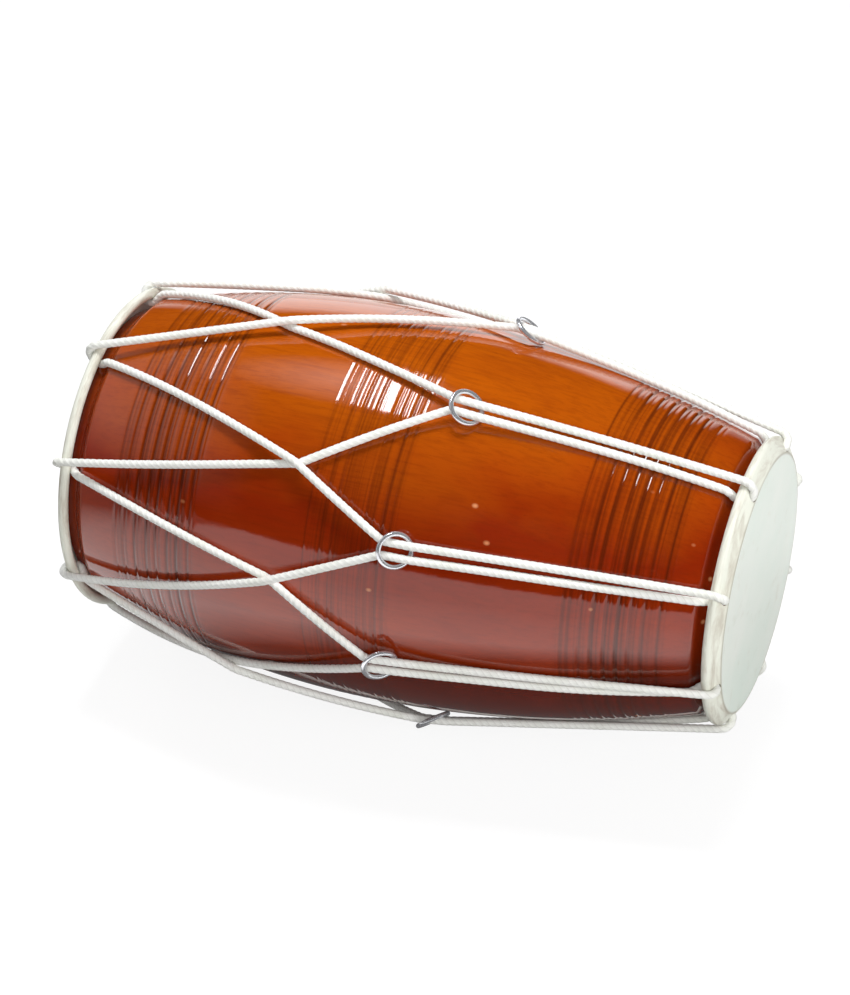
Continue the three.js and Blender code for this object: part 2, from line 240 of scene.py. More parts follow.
# Shell. A barrel turned from one log, stained red-brown and lacquered to a high gloss, with three
# bands of fine turned lines. It is the widest a little to the bass side of its middle.
mm = 0.001
belly_radius = 143.8 * mm
belly_place = -39 * mm
shell_wall = 10 * mm
edge_bevel = 1.5 * mm
weld_reach = 0.005 * mm
mouth_drop = 6.9 * mm
mouth_round = 10 * mm
bass_hoop_out = 118.5 * mm
bass_face_rise = 7 * mm
treble_hoop_out = 100.5 * mm
treble_face_rise = 8.5 * mm
hoop_thickness = 4.6 * mm
skin_thickness = 1.1 * mm
seat_gap = 0.3 * mm
rope_thickness = 6 * mm
rope_gap = 0.5 * mm
rope_radius = rope_thickness / 2
rope_seat = rope_radius + rope_gap
hoop_radius = hoop_thickness / 2
lap_radius = hoop_radius + seat_gap + skin_thickness
loop_radius = lap_radius + rope_seat


def middle_of(node):
    low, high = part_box(node)
    return (low + high) / 2


drum_middle = (middle_of("bass_hoop") + middle_of("treble_hoop")) / 2
hoop_place = (middle_of("treble_hoop").x - middle_of("bass_hoop").x) / 2


class End:
    """One end of the drum: its side is -1 at the bass and 1 at the treble."""

    def __init__(self, side, hoop_out, face_rise):
        self.side = side
        self.hoop_out = hoop_out
        self.face_rise = face_rise
        self.neck_place = side * (hoop_place - lap_radius)
        self.round_place = self.neck_place - side * mouth_round
        self.mouth_place = side * (hoop_place + face_rise - skin_thickness - seat_gap)
        neck_radius = hoop_out - lap_radius - 2 * rope_seat
        neck_drop = belly_radius - mouth_drop - neck_radius
        self.fall = neck_drop / (self.neck_place - belly_place) ** 2


bass_end = End(-1, bass_hoop_out, bass_face_rise)
treble_end = End(1, treble_hoop_out, treble_face_rise)


def shell_out(along):
    """How far out the wood reaches: a parabola from the belly, rounded off at the mouth."""
    end = bass_end if along < belly_place else treble_end
    into_mouth = (along - end.round_place) / (end.neck_place - end.round_place)
    share = min(max(into_mouth, 0), 1)
    drop = mouth_drop * share**2 * (3 - 2 * share)
    return belly_radius - end.fall * (along - belly_place) ** 2 - drop


# Each turned line is a rounded groove with a fine cut in its bottom, and has a fainter one beside
# it. A band lists the lines by place in mm along the drum and by share of the full depth.
groove_half_width = 2.5 * mm
groove_depth = 0.34 * mm
cut_half_width = 0.9 * mm
cut_depth = 0.1 * mm
beside_groove = 3.4 * mm
beside_share = 0.35
bass_band = ((-195, 0.5), (-187.5, 0.7), (-178, 1.15), (-168, 0.9))
bass_band += ((-160, 1.3), (-149.7, 0.9), (-142, 1.3), (-132.5, 1))
middle_band = ((-42, 0.35), (-30.5, 0.4), (-22.5, 0.5), (-13, 0.35))
middle_band += ((-0.7, 0.45), (5.5, 0.4), (12.5, 0.7), (18.5, 0.4))
treble_band = ((142, 0.5), (147, 0.5), (154, 1.1), (162.5, 1.25), (170.8, 1.5))
treble_band += ((179, 1.5), (187, 1.4), (195.7, 0.9), (205.8, 0.7))
turned_bands = (bass_band, middle_band, treble_band)
band_fade = 4 * mm
grooves = [(along * mm, share) for band in turned_bands for along, share in band]
grooves += [(along + beside_groove, share * beside_share) for along, share in grooves]


def groove_at(along):
    depth = 0
    for place, share in grooves:
        away = abs(along - place)
        if away < groove_half_width:
            rounded = (1 + math.cos(math.pi * away / groove_half_width)) / 2
            depth += share * groove_depth * rounded
        if away < cut_half_width:
            depth += share * cut_depth * (1 - away / cut_half_width)
    return depth


def in_bands(along):
    """1 inside a band of turned lines, and falling to 0 past its ends."""
    past_ends = [max(band[0][0] * mm - along, along - band[-1][0] * mm) for band in turned_bands]
    return min(max(1 - min(past_ends) / band_fade, 0), 1)


def turn(name, profile, around):
    """Draws a profile of (along, out) points one by one, and spins it round the drum's axis."""
    spots = [drum_middle + Vector((along, 0, out)) for along, out in profile]
    closed = int(profile[0][1] > 0)
    bpy.ops.object.select_all(action="DESELECT")
    bpy.ops.mesh.primitive_plane_add(size=mm, location=spots[0])
    piece = bpy.context.object
    piece.name = name
    piece.data.name = name
    bpy.ops.object.transform_apply()
    bpy.ops.object.mode_set(mode="EDIT")
    bpy.ops.mesh.select_all(action="SELECT")
    bpy.ops.mesh.merge(type="CENTER")
    for before, after in zip(spots, spots[1:] + spots[:1] * closed):
        bpy.ops.mesh.extrude_region_move(TRANSFORM_OT_translate={"value": after - before})
    bpy.ops.mesh.select_all(action="SELECT")
    bpy.ops.mesh.remove_doubles(threshold=weld_reach)
    bpy.ops.mesh.spin(steps=around, angle=math.tau, center=drum_middle, axis=(1, 0, 0))
    bpy.ops.mesh.select_all(action="SELECT")
    bpy.ops.mesh.remove_doubles(threshold=weld_reach)
    bpy.ops.mesh.normals_make_consistent(inside=False)
    bpy.ops.object.mode_set(mode="OBJECT")
    return piece


def pick_up(piece):
    bpy.ops.object.select_all(action="DESELECT")
    piece.select_set(True)
    bpy.context.view_layer.objects.active = piece


def shade(piece, sharp_angle):
    pick_up(piece)
    bpy.ops.object.shade_smooth_by_angle(angle=math.radians(sharp_angle))


def mark(piece, name, values):
    attribute = piece.data.attributes.new(name, "FLOAT", "POINT")
    attribute.data.foreach_set("value", np.array(values, np.float32))


# The profile has a point every few millimetres, and close ones over each groove and each mouth.
shell_around = 128
plain_step = 5 * mm
mouth_steps = 24
bore_steps = 24
groove_clearance = groove_half_width / 8
groove_shares = (-1, -0.72, -0.48, -0.36, -0.24, -0.12, 0, 0.12, 0.24, 0.36, 0.48, 0.72, 1)
place_decimals = 2
first_place = bass_end.mouth_place + edge_bevel
last_place = treble_end.mouth_place - edge_bevel
outer_places = set(np.arange(first_place, last_place, plain_step)) | {last_place}
for place, _ in grooves:
    outer_places = {p for p in outer_places if abs(p - place) > groove_clearance}
    outer_places |= {place + share * groove_half_width for share in groove_shares}
outer_places = {round(p / mm, place_decimals) * mm for p in outer_places}
for end in (bass_end, treble_end):
    rim_place = end.mouth_place - end.side * edge_bevel
    outer_places |= set(np.linspace(end.round_place, rim_place, mouth_steps + 1))
bore_places = np.linspace(treble_end.mouth_place, bass_end.mouth_place, bore_steps)
shell_profile = [
    (bass_end.mouth_place, shell_out(bass_end.mouth_place) - edge_bevel),
    *[(p, shell_out(p) - groove_at(p)) for p in sorted(outer_places)],
    (treble_end.mouth_place, shell_out(treble_end.mouth_place) - edge_bevel),
    *[(p, shell_out(p) - shell_wall) for p in bore_places],
]
shell = turn("turned_shell", shell_profile, shell_around)
mark(shell, "groove", [groove_at(v.co.x - drum_middle.x) for v in shell.data.vertices])
mark(shell, "turned_band", [in_bands(v.co.x - drum_middle.x) for v in shell.data.vertices])
shade(shell, sharp_angle=40)


def new_finish(name):
    finish = bpy.data.materials.new(name)
    finish.use_nodes = True
    return finish, finish.node_tree, finish.node_tree.nodes["Principled BSDF"]


def own_place(tree, scale=(1, 1, 1)):
    """The place on the piece, measured from the drum's middle and stretched for a pattern."""
    on_piece = add_node(tree, "ShaderNodeTexCoord").outputs["Object"]
    from_middle = {"Vector": on_piece, "Location": -drum_middle}
    centred = add_node(tree, "ShaderNodeMapping", from_middle).outputs[0]
    return add_node(tree, "ShaderNodeMapping", {"Vector": centred, "Scale": scale}).outputs[0]


def noise(tree, place, scale, detail=4.0, roughness=0.55, distortion=0.0):
    inputs = {"Vector": place, "Scale": scale, "Detail": detail}
    inputs |= {"Roughness": roughness, "Distortion": distortion}
    return add_node(tree, "ShaderNodeTexNoise", inputs).outputs["Fac"]


def marked(tree, name):
    return add_node(tree, "ShaderNodeAttribute", attribute_name=name).outputs["Fac"]


def mix_colours(tree, share, first, second):
    inputs = {0: share, 6: first, 7: second}
    return add_node(tree, "ShaderNodeMix", inputs, data_type="RGBA").outputs[2]


def raise_surface(tree, shader, height, strength, distance, under=None):
    settings = {"Height": height, "Strength": strength, "Distance": distance}
    if under:
        settings["Normal"] = under
    raised = add_node(tree, "ShaderNodeBump", settings).outputs[0]
    tree.links.new(raised, shader.inputs["Normal"])
    return raised


# The colour goes from dark red at the foot to orange at the top, with a redder belt between.
# That is partly the stain's own change of hue and partly painted light and shade: lighter on top,
# darker at the foot, more so towards the treble end, with painted bounce light just above it.
# The grain runs along the drum, the turned lines are darker, partly from stain pooled in them and
# partly from painted shade, and a few pale flecks of bare wood show through.
shaded_foot_stain = (0.10, 0.008, 0.001, 1)
bounce_lit_low_stain = (0.36, 0.036, 0.003, 1)
shaded_middle_stain = (0.25, 0.0175, 0.0015, 1)
lit_high_stain = (0.37, 0.052, 0.002, 1)
lit_top_stain = (0.49, 0.097, 0.002, 1)
cloud_stain = (0.20, 0.014, 0.002, 1)
grain_stain = (0.16, 0.016, 0.002, 1)
pore_stain = (0.10, 0.01, 0.002, 1)
groove_stain_and_shade = (0.07, 0.009, 0.002, 1)
line_stain = (0.08, 0.012, 0.002, 1)
fleck_colour = (0.70, 0.28, 0.12, 1)
gradient_waver = 0.018
shade_slant = 0.17

lacquered_wood, tree, shader = new_finish("red_brown_lacquer")
place = own_place(tree)
measured = add_node(tree, "ShaderNodeSeparateXYZ", {0: place}).outputs
clouds = noise(tree, own_place(tree, (3, 6, 6)), scale=3.0, detail=3.0)
grain = noise(tree, own_place(tree, (7, 110, 110)), 4.0, detail=8.0, roughness=0.62, distortion=0.3)
pores = noise(tree, own_place(tree, (30, 420, 420)), scale=4.0, detail=3.0, roughness=0.6)
waver = ranged(tree, clouds, 0.3, 0.7, start=-gradient_waver, end=gradient_waver)
wavered = work_out(tree, "ADD", measured["Z"], waver)
shade_slanted = work_out(tree, "MULTIPLY", measured["X"], shade_slant)
shade_slanted = work_out(tree, "SUBTRACT", wavered, shade_slanted)
# Painted light and shade: darker towards the foot and the treble end there, lighter towards the
# top, with painted bounce light just above the foot.
wood_colour = shaded_foot_stain
for risen, low, high, next_colour in (
    (shade_slanted, -0.062, -0.018, bounce_lit_low_stain),
    (wavered, -0.010, 0.065, shaded_middle_stain),
    (wavered, 0.065, 0.095, lit_high_stain),
    (wavered, 0.095, 0.130, lit_top_stain),
):
    wood_colour = mix_colours(tree, ranged(tree, risen, low, high), wood_colour, next_colour)
for pattern, low, high, share, next_colour in (
    (clouds, 0.38, 0.64, 0.26, cloud_stain),
    (grain, 0.45, 0.70, 0.34, grain_stain),
    (pores, 0.60, 0.72, 0.30, pore_stain),
):
    wood_colour = mix_colours(tree, ranged(tree, pattern, low, high, end=share), wood_colour, next_colour)
groove = marked(tree, "groove")
banded = marked(tree, "turned_band")
patchy = noise(tree, own_place(tree, (60, 9, 9)), scale=1.0, detail=3.0)
patchy = ranged(tree, patchy, 0.32, 0.62, start=0.35)
# Painted shade, together with stain pooled in them, darkens the turned lines by their depth.
pooled_and_shaded = ranged(tree, groove, 0.03 * mm, groove_depth, end=0.8)
wood_colour = mix_colours(tree, work_out(tree, "MULTIPLY", pooled_and_shaded, patchy), wood_colour, groove_stain_and_shade)
fine_lines = noise(tree, own_place(tree, (620, 5, 5)), scale=1.0, detail=2.0)
fine_lines = ranged(tree, fine_lines, 0.42, 0.7, end=0.45)
wood_colour = mix_colours(tree, work_out(tree, "MULTIPLY", fine_lines, banded), wood_colour, line_stain)
cells = {"Vector": own_place(tree, (1, 1.4, 1.4)), "Scale": 34.0}
off_cell = add_node(tree, "ShaderNodeTexVoronoi", cells, feature="F1").outputs["Distance"]
fleck = ranged(tree, off_cell, 0.10, 0.04)
rare = ranged(tree, noise(tree, place, scale=11.0, detail=2.0), 0.52, 0.60)
wood_colour = mix_colours(tree, work_out(tree, "MULTIPLY", fleck, rare), wood_colour, fleck_colour)
tree.links.new(wood_colour, shader.inputs["Base Color"])
shader.inputs["Roughness"].default_value = 0.42
shader.inputs["Specular IOR Level"].default_value = 0.0
shader.inputs["Coat Weight"].default_value = 1.0
shader.inputs["Coat Roughness"].default_value = 0.07
shader.inputs["Coat IOR"].default_value = 1.62
tool_marks = noise(tree, own_place(tree, (620, 8, 8)), scale=1.0, detail=2.0)
tool_marks = work_out(tree, "MULTIPLY", tool_marks, ranged(tree, banded, start=0.05))
orange_peel = noise(tree, place, scale=95.0, detail=2.0)
raised = raise_surface(tree, shader, tool_marks, strength=0.12, distance=0.25 * mm)
raised = raise_surface(tree, shader, orange_peel, strength=0.12, distance=0.5 * mm, under=raised)
tree.links.new(raised, shader.inputs["Coat Normal"])

bare_pale = (0.46, 0.29, 0.15, 1)
bare_dark = (0.30, 0.17, 0.08, 1)
bare_wood, tree, shader = new_finish("bare_turned_wood")
growth = noise(tree, own_place(tree, (6, 60, 60)), 4.0, detail=6.0, roughness=0.6, distortion=0.4)
wood_colour = mix_colours(tree, ranged(tree, growth, 0.35, 0.7), bare_pale, bare_dark)
tree.links.new(wood_colour, shader.inputs["Base Color"])
shader.inputs["Roughness"].default_value = 0.8
gouged = noise(tree, own_place(tree, (500, 8, 8)), scale=1.0, detail=3.0)
raise_surface(tree, shader, gouged, strength=0.4, distance=0.3 * mm)


def from_axis(spot):
    return math.hypot(spot.y - drum_middle.y, spot.z - drum_middle.z)


shell.data.materials.append(lacquered_wood)
shell.data.materials.append(bare_wood)
for face in shell.data.polygons:
    along = face.center.x - drum_middle.x
    face.material_index = int(from_axis(face.center) < shell_out(along) - shell_wall / 2)
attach(shell, "drum")
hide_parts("shell")

# Hoops. A strip of split bamboo bent round into a ring at each end of the drum, a little wider
# than the shell's mouth. The skin is lapped over it, and the ropes pull it down the shell.
hoop_around = 160
hoop_section_steps = 20
straw_pale = (0.55, 0.38, 0.18, 1)
straw_dark = (0.36, 0.22, 0.09, 1)

split_bamboo, tree, shader = new_finish("split_bamboo")
fibres = noise(tree, own_place(tree, (260, 30, 30)), scale=3.0, roughness=0.6)
straw = mix_colours(tree, ranged(tree, fibres, 0.35, 0.7), straw_pale, straw_dark)
tree.links.new(straw, shader.inputs["Base Color"])
shader.inputs["Roughness"].default_value = 0.6
raise_surface(tree, shader, fibres, strength=0.3, distance=0.3 * mm)


def bend_hoop(name, end, node):
    section = []
    for step in range(hoop_section_steps):
        round_hoop = math.tau * step / hoop_section_steps
        along = end.side * hoop_place + hoop_radius * math.sin(round_hoop)
        section.append((along, end.hoop_out + hoop_radius * math.cos(round_hoop)))
    hoop = turn(name, section, hoop_around)
    shade(hoop, sharp_angle=60)
    hoop.data.materials.append(split_bamboo)
    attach(hoop, "drum")
    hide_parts(node)


bend_hoop("bass_bamboo_hoop", bass_end, "bass_hoop")
bend_hoop("treble_bamboo_hoop", treble_end, "treble_hoop")

# Heads. Scraped rawhide, pulled wet over the shell's mouth and down its slope, and lapped round the
# hoop, with a punched hole for each loop of rope just inside the hoop. The drum was laced by hand,
# so the holes, and the rings and crossings after them, aren't evenly spaced.
face_inset = 7 * mm
shoulder_round = 1.8 * mm
shoulder_steps = 8
lap_end_angle = math.radians(290)
lap_steps = 34
skin_around = 192
face_rings = 10
loop_start = 80
loop_split = -80
loop_end = -122
hole_start = 20
hole_end = -85
hole_steps = 16
hole_sides = 12
hoop_leg_spacing = 6.8 * mm
bass_hole_angles = (110, 65, 23.5, -21.5, -67, -112, -157, -203)
treble_hole_angles = (122, 71, 25.8, -16.4, -63, -109, -153, -196)
face_green = (0.80, 0.88, 0.80, 1)
face_pale = (0.88, 0.92, 0.85, 1)
lap_cream = (0.83, 0.84, 0.74, 1)
worn_brown = (0.52, 0.47, 0.38, 1)
shoulder_shade_brown = (0.42, 0.38, 0.30, 1)
mottle_brown = (0.58, 0.56, 0.44, 1)


def spot(along, angle, out):
    """A place on the drum: along its axis, in degrees up from its front, and out from it."""
    round_drum = math.radians(angle)
    off = Vector((along, -out * math.cos(round_drum), out * math.sin(round_drum)))
    return drum_middle + off


def as_angle(aside, out):
    return math.degrees(aside / out)


def loop_spot(end, angle, turn_angle):
    """A place on the rope's turn round a lapped hoop: 90 is over it, 0 in front, -90 under it."""
    round_hoop = math.radians(turn_angle)
    out = end.hoop_out + loop_radius * math.sin(round_hoop)
    along = end.side * (hoop_place + loop_radius * math.cos(round_hoop))
    share = (turn_angle - loop_end) / (loop_start - loop_end)
    aside = hoop_leg_spacing * (share - 0.5)
    return spot(along, angle + as_angle(aside, out), out)


def loop_line(end, angle, first, last, steps):
    return [loop_spot(end, angle, turn_angle) for turn_angle in np.linspace(first, last, steps + 1)]


def skin_side(end, depth):
    """The skin's section at a depth in it, as (out, rise) from its middle to its lapped edge."""
    shoulder_out = end.hoop_out - face_inset
    shoulder_rise = end.face_rise - shoulder_round
    span = math.hypot(end.hoop_out - shoulder_out, shoulder_rise)
    bearing = math.atan2(end.hoop_out - shoulder_out, -shoulder_rise)
    slope = bearing - math.acos((shoulder_round - lap_radius) / span)
    line = []
    for share in np.linspace(0, 1, face_rings + 1)[:-1]:
        line.append((share * shoulder_out, end.face_rise - depth))
    for lean in np.linspace(0, slope, shoulder_steps + 1):
        reach = shoulder_round - depth
        out = shoulder_out + reach * math.sin(lean)
        line.append((out, shoulder_rise + reach * math.cos(lean)))
    for round_hoop in np.linspace(slope, lap_end_angle, lap_steps + 1):
        reach = lap_radius - depth
        line.append((end.hoop_out + reach * math.sin(round_hoop), reach * math.cos(round_hoop)))
    return line


def lay_curve(name, line):
    curve = bpy.data.curves.new(name, "CURVE")
    curve.dimensions = "3D"
    curve.use_fill_caps = True
    spline = curve.splines.new("POLY")
    spline.points.add(len(line) - 1)
    for point, place in zip(spline.points, line):
        point.co = (*place, 1)
    return curve


def as_mesh(name, curve):
    made = bpy.data.objects.new(name, curve)
    bpy.context.scene.collection.objects.link(made)
    pick_up(made)
    bpy.ops.object.convert(target="MESH")
    return bpy.context.object


def punch_hole(skin, line):
    curve = lay_curve("punch", line)
    curve.bevel_depth = rope_seat
    curve.bevel_resolution = hole_sides // 4
    punch = as_mesh("punch", curve)
    pick_up(skin)
    cut = skin.modifiers.new("hole", "BOOLEAN")
    cut.operation = "DIFFERENCE"
    cut.solver = "EXACT"
    cut.object = punch
    bpy.ops.object.modifier_apply(modifier=cut.name)
    bpy.data.objects.remove(punch)


rawhide, tree, shader = new_finish("scraped_rawhide")
mottle = noise(tree, own_place(tree), scale=70.0, detail=5.0, roughness=0.6)
clouding = noise(tree, own_place(tree), scale=11.0, detail=3.0)
streaks = noise(tree, own_place(tree, (9, 1, 1)), scale=26.0, roughness=0.65, distortion=0.5)
ivory = mix_colours(tree, ranged(tree, clouding, 0.35, 0.65), face_green, face_pale)
past_edge = marked(tree, "past_edge")
lapped = ranged(tree, past_edge, -0.2 * mm, 0.6 * mm)
ivory = mix_colours(tree, lapped, ivory, lap_cream)
worn = work_out(tree, "MULTIPLY", lapped, ranged(tree, streaks, 0.44, 0.64, end=0.7))
ivory = mix_colours(tree, worn, ivory, worn_brown)
# Painted shade: a thin brown line along the shoulder, where the face turns down to the lap.
shoulder_shade = work_out(
    tree,
    "MULTIPLY",
    ranged(tree, past_edge, -1.4 * mm, 0.2 * mm),
    ranged(tree, past_edge, 1.6 * mm, 0.4 * mm),
    ranged(tree, clouding, 0.3, 0.6, start=0.4, end=0.9),
)
ivory = mix_colours(tree, shoulder_shade, ivory, shoulder_shade_brown)
ivory = mix_colours(tree, ranged(tree, mottle, 0.58, 0.75, end=0.22), ivory, mottle_brown)
tree.links.new(ivory, shader.inputs["Base Color"])
shader.inputs["Roughness"].default_value = 0.5
shader.inputs["Specular IOR Level"].default_value = 0.35
raised = raise_surface(tree, shader, streaks, strength=0.25, distance=0.5 * mm)
raise_surface(tree, shader, mottle, strength=0.12, distance=0.3 * mm, under=raised)


def lap_head(name, end, hole_angles, node):
    front = skin_side(end, 0)
    back = skin_side(end, skin_thickness)[::-1]
    profile = [(end.side * (hoop_place + rise), out) for out, rise in front + back]
    skin = turn(name, profile, skin_around)
    for angle in hole_angles:
        punch_hole(skin, loop_line(end, angle, hole_start, hole_end, hole_steps))
    edge = end.hoop_out - face_inset
    mark(skin, "past_edge", [from_axis(v.co) - edge for v in skin.data.vertices])
    shade(skin, sharp_angle=50)
    skin.data.materials.append(rawhide)
    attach(skin, "drum")
    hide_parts(node)


lap_head("bass_rawhide_head", bass_end, bass_hole_angles, "bass_head_skin")
lap_head("treble_rawhide_head", treble_end, treble_hole_angles, "treble_head_skin")

# Tuning paste. A dark cake of tar, clay and sand pressed on the inside of the bass skin, which
# gives it its low note.
paste_radius = 46 * mm
paste_thickness = 1.8 * mm
paste_edge_share = 0.82
paste_steps = 6
paste_around = 96
tar_black = (0.018, 0.014, 0.011, 1)
clay_brown = (0.06, 0.045, 0.035, 1)

tar_paste, tree, shader = new_finish("tar_and_clay_paste")
grit = noise(tree, own_place(tree), scale=600.0, detail=5.0, roughness=0.7)
tar = mix_colours(tree, ranged(tree, grit, 0.4, 0.7), tar_black, clay_brown)
tree.links.new(tar, shader.inputs["Base Color"])
shader.inputs["Roughness"].default_value = 0.75
raise_surface(tree, shader, grit, strength=0.5, distance=0.4 * mm)

paste_seat = bass_end.mouth_place
paste_profile = [(paste_seat, 0), (paste_seat, paste_radius)]
for share in np.linspace(0, 1, paste_steps + 1):
    swell = paste_thickness * math.sin(math.pi / 2 * share)
    reach = 1 - (1 - paste_edge_share) * (1 - math.cos(math.pi / 2 * share))
    paste_profile.append((paste_seat - bass_end.side * swell, paste_radius * reach))
paste_profile.append((paste_seat - bass_end.side * paste_thickness, 0))
tuning_paste = turn("bass_tar_paste", paste_profile, paste_around)
shade(tuning_paste, sharp_angle=50)
tuning_paste.data.materials.append(tar_paste)
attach(tuning_paste, "drum")
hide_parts("bass_tuning_paste")

# Tuning rings. Polished steel wire bent into a ring and butted, one over each pair of legs. A ring
# tilts on the legs: its treble side lies under them on the shell, its bass side stands over them.
ring_diameter = 23.5 * mm
ring_reach = ring_diameter / 2
ring_wire = 3.5 * mm
ring_tilt = math.radians(36)
ring_leg_spacing = 9.6 * mm
ring_leg_clearance = 0.95 * mm
travel_to_treble = 80 * mm
travel_to_bass = 30 * mm
ring_angles = (109, 65.8, 23.3, -12.9, -59, -108, -154, -206)
ring_place_shares = (0.235, 0.204, 0.112, 0.078, 0.13, 0.17, 0.2, 0.225)
ring_steps = 72
wire_steps = 20
butt_share = 0.93
butt_half_width = ring_wire / 40
steel_grey = (0.74, 0.75, 0.79, 1)
steel_pale = (0.86, 0.87, 0.90, 1)
stations = len(ring_angles)


class RingSeat:
    """Where a ring sits at rest, clear of the shell along its slide, and where its legs pass."""

    def __init__(self, station):
        self.along = ring_place_shares[station] * hoop_place
        self.angle = ring_angles[station]
        self.low_place = self.along + ring_reach * math.cos(ring_tilt)
        self.high_place = self.along - ring_reach * math.cos(ring_tilt)
        lift = treble_end.fall * ((travel_to_treble - travel_to_bass) / 2) ** 2
        low = shell_out(self.low_place) + ring_wire / 2 + seat_gap + lift
        high = low + 2 * ring_reach * math.sin(ring_tilt)
        leg_lift = ring_wire / 2 + rope_radius + ring_leg_clearance
        self.out = (low + high) / 2
        self.low_leg = low + leg_lift
        self.high_leg = high - leg_lift


seats = [RingSeat(station) for station in range(stations)]

polished_steel, tree, shader = new_finish("polished_steel")
wear = noise(tree, own_place(tree), scale=900.0, detail=3.0)
steel = mix_colours(tree, ranged(tree, wear, 0.3, 0.7), steel_grey, steel_pale)
tree.links.new(steel, shader.inputs["Base Color"])
shader.inputs["Metallic"].default_value = 0.75
tree.links.new(ranged(tree, wear, 0.3, 0.7, 0.12, 0.26), shader.inputs["Roughness"])
raise_surface(tree, shader, wear, strength=0.05, distance=0.1 * mm)

bpy.ops.object.select_all(action="DESELECT")
bpy.ops.mesh.primitive_torus_add(
    major_segments=ring_steps,
    minor_segments=wire_steps,
    major_radius=ring_reach,
    minor_radius=ring_wire / 2,
    location=(0, 0, 0),
)
bent_ring = bpy.context.object
bpy.ops.object.mode_set(mode="EDIT")
bpy.ops.mesh.select_all(action="DESELECT")
bpy.ops.object.mode_set(mode="OBJECT")
for vertex in bent_ring.data.vertices:
    vertex.select = abs(vertex.co.y) < butt_half_width and vertex.co.x > 0
bpy.ops.object.mode_set(mode="EDIT")
bpy.ops.transform.resize(value=(butt_share, 1, butt_share), center_override=(ring_reach, 0, 0))
bpy.ops.object.mode_set(mode="OBJECT")
shade(bent_ring, sharp_angle=30)
bent_ring.data.materials.append(polished_steel)

for station, seat in enumerate(seats):
    label = station + 1
    ring = bent_ring.copy()
    ring.data = bent_ring.data.copy()
    ring.name = f"steel_ring_{label}"
    ring.data.name = ring.name
    bpy.context.scene.collection.objects.link(ring)
    outward = (spot(0, seat.angle, 1) - spot(0, seat.angle, 0)).normalized()
    along_axis = Vector((1, 0, 0))
    sideways = outward.cross(along_axis)
    facing = outward * math.cos(ring_tilt) + along_axis * math.sin(ring_tilt)
    lengthways = sideways.cross(facing)
    turned = Matrix((lengthways, sideways, facing)).transposed().to_4x4()
    ring.data.transform(Matrix.Translation(spot(seat.along, seat.angle, seat.out)) @ turned)
    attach(ring, f"ring_{label}")
    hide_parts(f"tuning_ring_{label}")
bpy.data.objects.remove(bent_ring)

# Lacing. White cotton rope of three strands. At the treble it makes a hairpin from each ring over
# the hoop and back under it. At the bass a leg runs from each hole to the ring on either side, and
# the legs of neighbouring holes cross on the way.
crossing_angles = (82.6, 40.3, 7.2, -36, -87, -133, -179, -233)
crossing_place_shares = (-0.415, -0.228, -0.275, -0.44, -0.35, -0.33, -0.36, -0.3)
support_steps = 80
loop_steps = 40
split_loop_steps = 8
rope_step = 0.8 * mm
leg_step = 1 * mm
bend_reach = 5 * mm
strand_count = 3
strand_valley = 0.11
valley_power = 1.4
section_points = 18
lay_length = 15 * mm
yarn_length = 1.9 * mm
yarns_round = 9
cotton_white = (0.93, 0.93, 0.89, 1)
soiled_grey = (0.76, 0.78, 0.68, 1)
valley_shade_grey = (0.50, 0.50, 0.44, 1)
yarn_gap_shade_grey = (0.60, 0.60, 0.54, 1)


def tighten(supports):
    """A rope pulled tight over its supports keeps to the upper hull of them."""
    hull = []
    for point in sorted(supports):
        while len(hull) > 1:
            first, second = hull[-2:]
            rise = (second[0] - first[0]) * (point[1] - first[1])
            run = (second[1] - first[1]) * (point[0] - first[0])
            if rise < run:
                break
            hull.pop()
        hull.append(point)
    return hull


def shell_supports(first, last):
    """What a rope lies on along the shell, with its seat measured square to the wood."""
    line = []
    for along in np.linspace(first, last, support_steps + 1):
        lean = (shell_out(along + seat_gap) - shell_out(along)) / seat_gap
        line.append((along, shell_out(along) + rope_seat * math.hypot(1, lean)))
    return line


def height_on(tight, along):
    return float(np.interp(along, [p[0] for p in tight], [p[1] for p in tight]))


def place_of(point):
    """The (along, angle, out) of a place on the drum, with its angle between -180 and 180."""
    off = point - drum_middle
    return off.x, math.degrees(math.atan2(off.z, -off.y)), math.hypot(off.y, off.z)


def near_angle(angle, other):
    return angle + 360 * round((other - angle) / 360)


def leg_line(stops, tight):
    """A leg's places from stop to stop, given as (along, angle), laid on its tight line."""
    first, last = stops[0][0], stops[-1][0]
    count = int(abs(last - first) / leg_step)
    line = []
    for along in np.linspace(first, last, count + 1):
        angle = np.interp(along, [s[0] for s in stops], [s[1] for s in stops])
        line.append(spot(along, angle, height_on(tight, along)))
    return line


def ring_places(seat, side):
    """Where a leg passes its ring, above (1) or below (-1) the ring's middle."""
    aside = side * ring_leg_spacing / 2
    high = (seat.high_place, seat.angle + as_angle(aside, seat.high_leg), seat.high_leg)
    low = (seat.low_place, seat.angle + as_angle(aside, seat.low_leg), seat.low_leg)
    middle = tuple((one + other) / 2 for one, other in zip(high, low))
    return high, low, middle


def evenly(line, step):
    """The same line in even steps."""
    spots = np.array([tuple(place) for place in line])
    lengths = np.linalg.norm(np.diff(spots, axis=0), axis=1)
    reached = np.concatenate([[0], np.cumsum(lengths)])
    marks = np.linspace(0, reached[-1], max(2, round(reached[-1] / step) + 1))
    even = [np.interp(marks, reached, spots[:, axis]) for axis in range(3)]
    return np.stack(even, axis=1)


def eased(line, reach):
    """The same line with its kinks rounded as a rope rounds them, and its two ends kept."""
    spots = evenly(line, rope_step)
    window = 2 * int(reach / rope_step) + 1
    half = window // 2
    weights = np.hanning(window + 2)[1:-1]
    weights /= weights.sum()
    before = 2 * spots[0] - spots[half:0:-1]
    after = 2 * spots[-1] - spots[-2 : -half - 2 : -1]
    padded = np.concatenate([before, spots, after])
    rounded = [np.convolve(padded[:, axis], weights, "valid") for axis in range(3)]
    return np.stack(rounded, axis=1)


